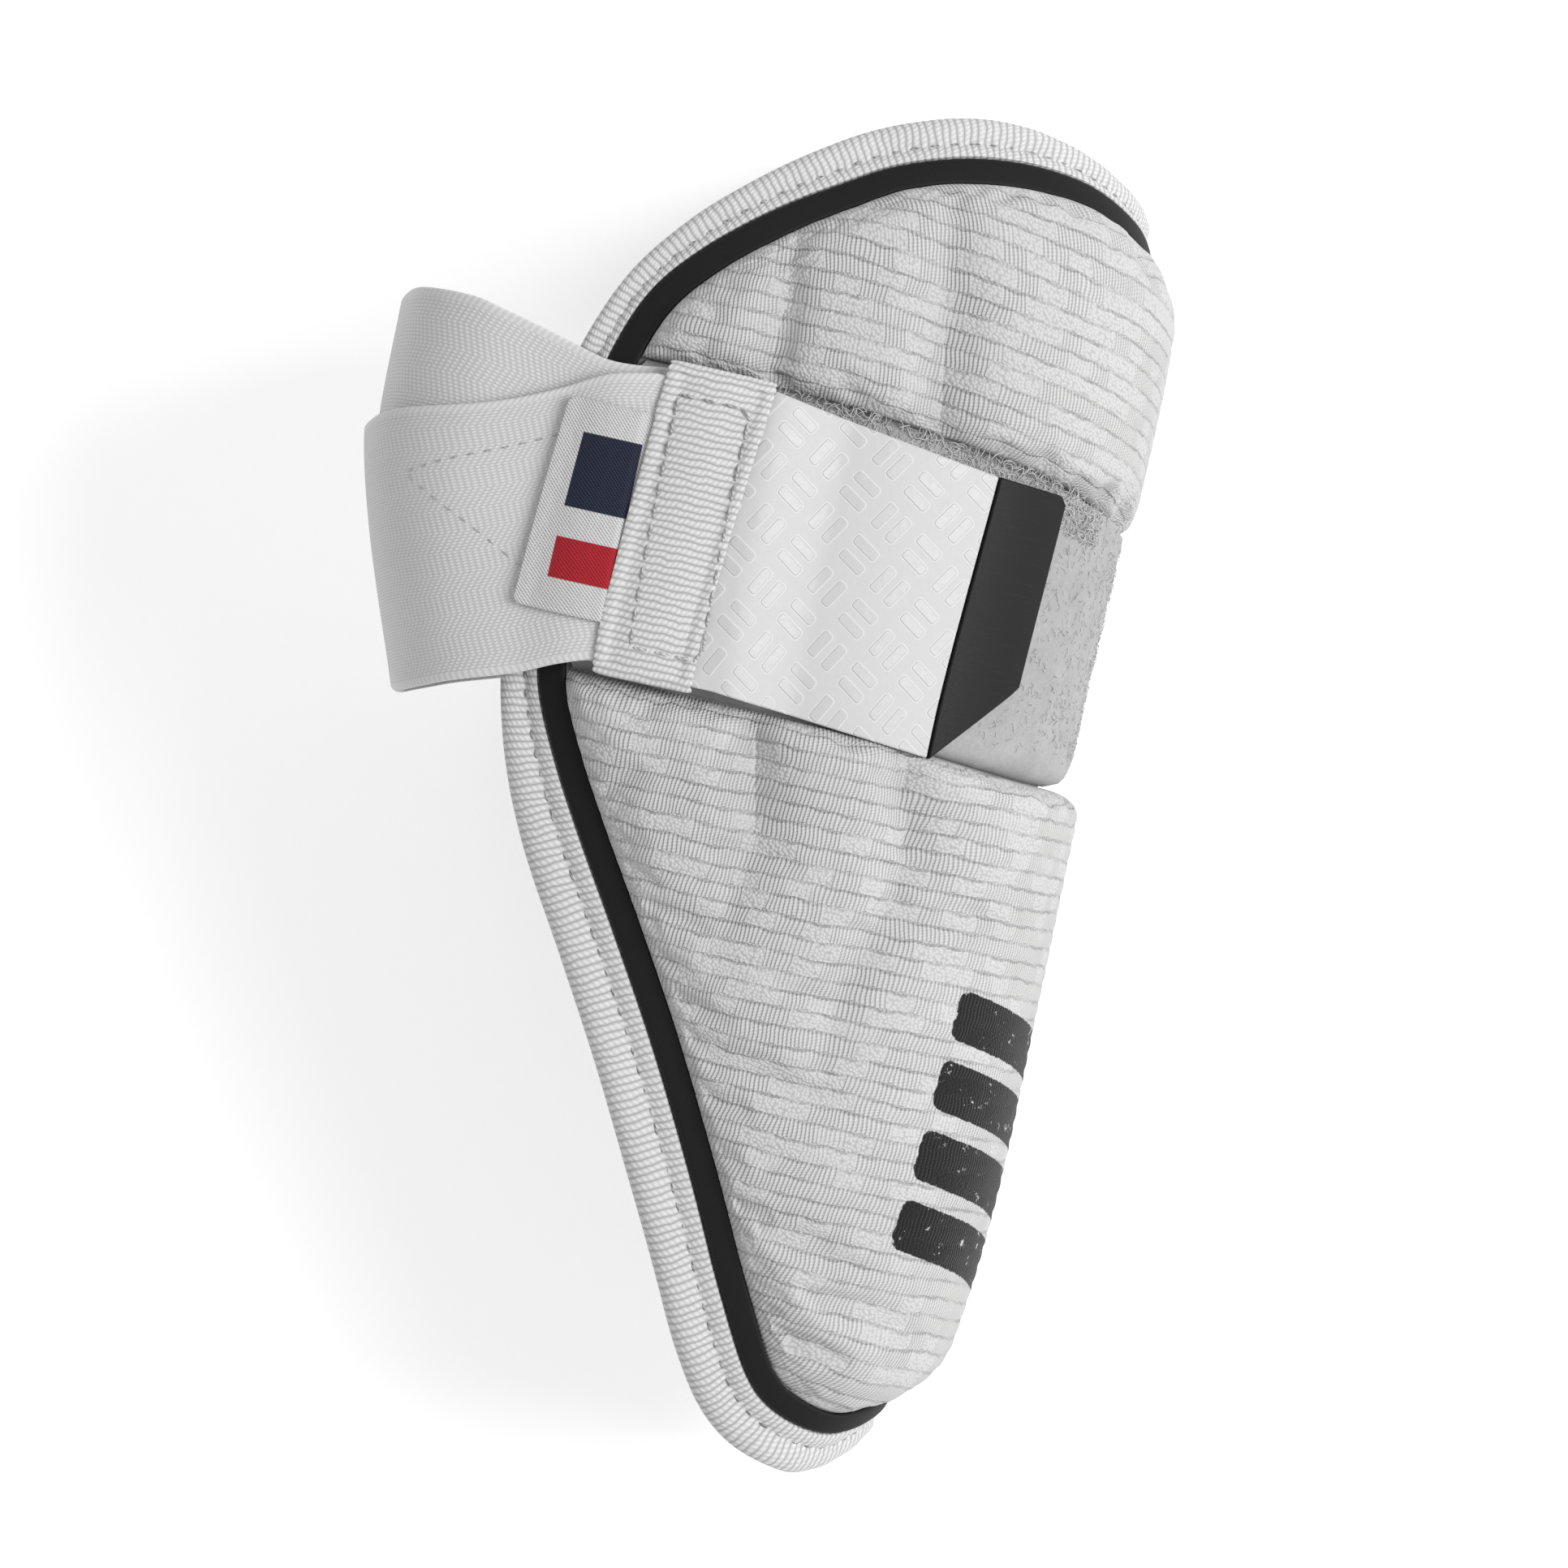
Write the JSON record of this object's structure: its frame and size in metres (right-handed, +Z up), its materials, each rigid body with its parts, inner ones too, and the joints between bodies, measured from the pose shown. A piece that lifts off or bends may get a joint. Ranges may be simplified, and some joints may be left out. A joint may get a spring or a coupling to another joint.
{
  "type": "batting elbow guard",
  "caption": "Padded half sleeve for a batter's elbow with bound edges, sewn pads and an elastic strap that closes with a hook tab.",
  "frame": {"origin": "on the floor under the middle of the guard as it lies on its right flank", "axes": "+Y along the arm from the narrow end to the wide end, +X towards the padded ridge, +Z up"},
  "size_m": [0.1342, 0.227, 0.1156],
  "materials": {
    "knit_cover": "ribbed knit",
    "binding_tape": "ribbed woven tape",
    "black_trim": "smooth",
    "loop_pile": "fuzzy loop pile",
    "elastic": "woven elastic",
    "moulded_tab": "satin with a raised pattern",
    "black_tab_end": "satin",
    "woven_label": "woven"
  },
  "bodies": {
    "root": {"backing": "knit_cover", "edge_binding": "binding_tape", "rim_trim": "black_trim", "upper_pad": "knit_cover", "lower_pad": "knit_cover", "loop_panel": "loop_pile", "strap_inner": "elastic", "strap_outer": "elastic", "strap_webbing": "binding_tape", "hook_tab": "moulded_tab", "tab_end": "black_tab_end", "side_label": "woven_label", "anchor_patch": "binding_tape"}
  },
  "joints": []
}
